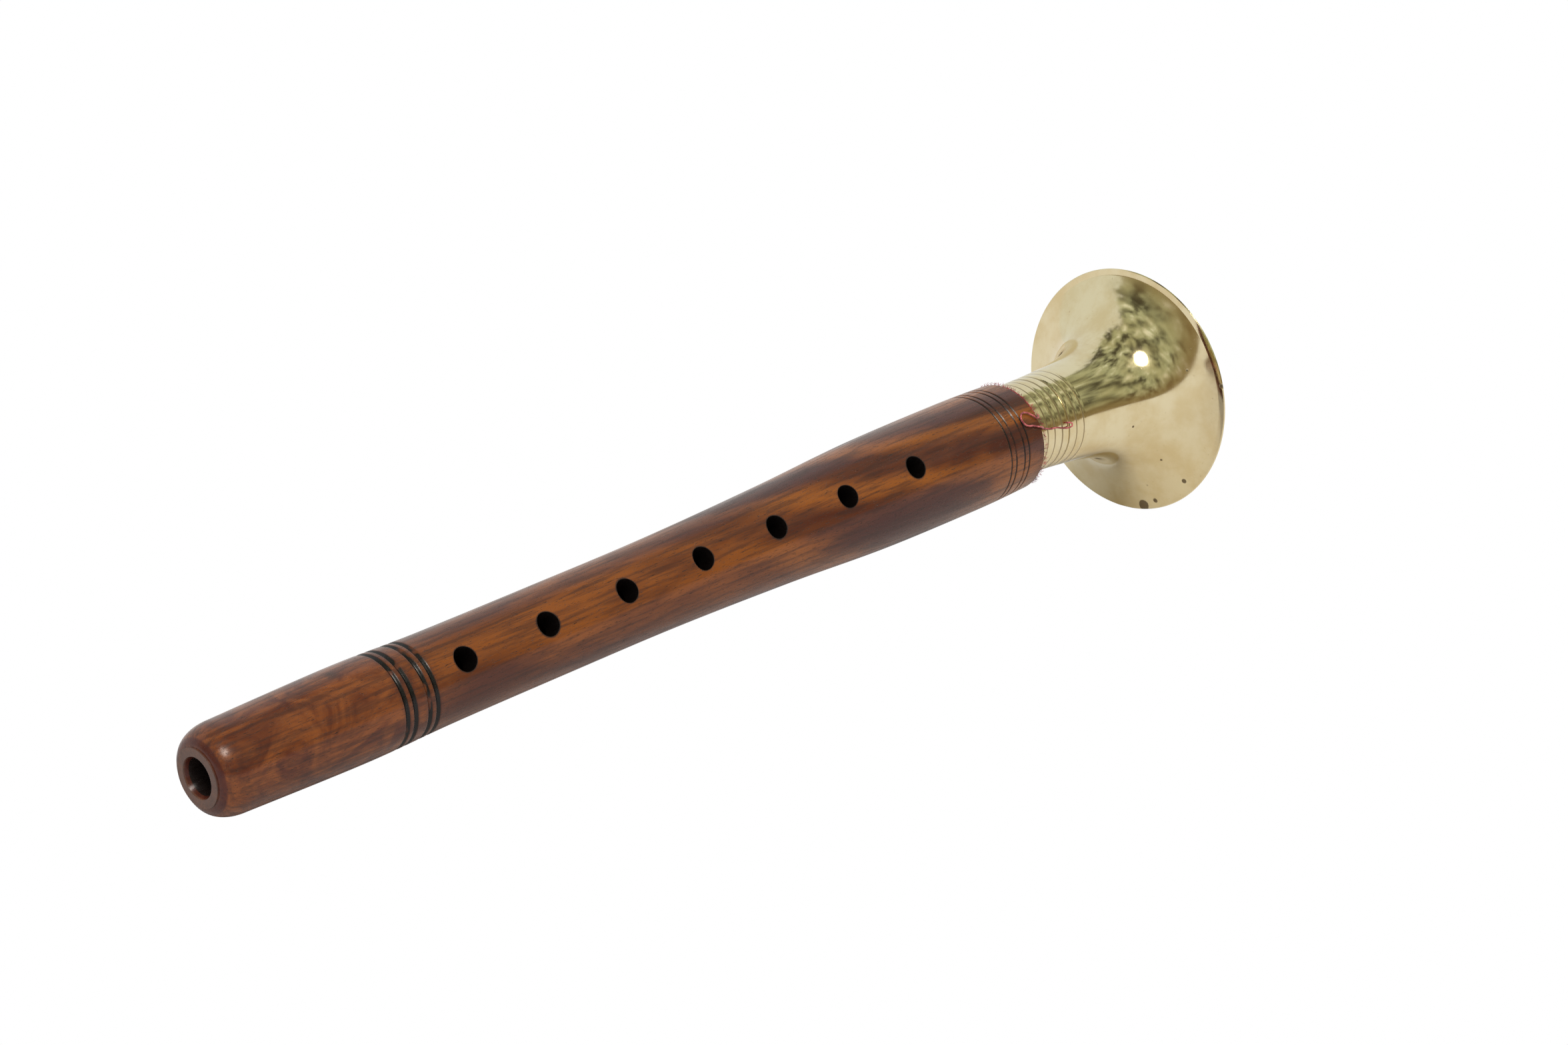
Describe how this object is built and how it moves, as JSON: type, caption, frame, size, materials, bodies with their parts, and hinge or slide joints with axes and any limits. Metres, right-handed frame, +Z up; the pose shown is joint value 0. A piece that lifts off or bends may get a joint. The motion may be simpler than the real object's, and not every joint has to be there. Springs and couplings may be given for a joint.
{
  "type": "shehnai",
  "caption": "Small wooden shehnai with a conical bore and finger holes, lying at rest, its brass bell pushed over a thread-packed tenon and its reed socket empty.",
  "frame": {"origin": "centre of the bounding box's bottom face, on the surface the instrument lies on", "axes": "+X along the instrument towards its bell, +Z up with the instrument lying at rest, finger holes turned up and towards -Y"},
  "size_m": [0.3662, 0.0784, 0.0784],
  "materials": {
    "oiled_hardwood": "oiled, with burnt rings",
    "brass": "polished, lightly tarnished",
    "red_cotton": "twisted thread"
  },
  "bodies": {
    "chanter": {"wooden_body": "oiled_hardwood", "packing_thread": "red_cotton", "loose_thread": "red_cotton"},
    "bell": {"brass_bell": "brass"}
  },
  "joints": [
    {"name": "bell_pull", "type": "slide", "parent": "chanter", "child": "bell", "axis": [0.998, -0.0331, 0.0538], "range_m": [0, 0.024]}
  ]
}
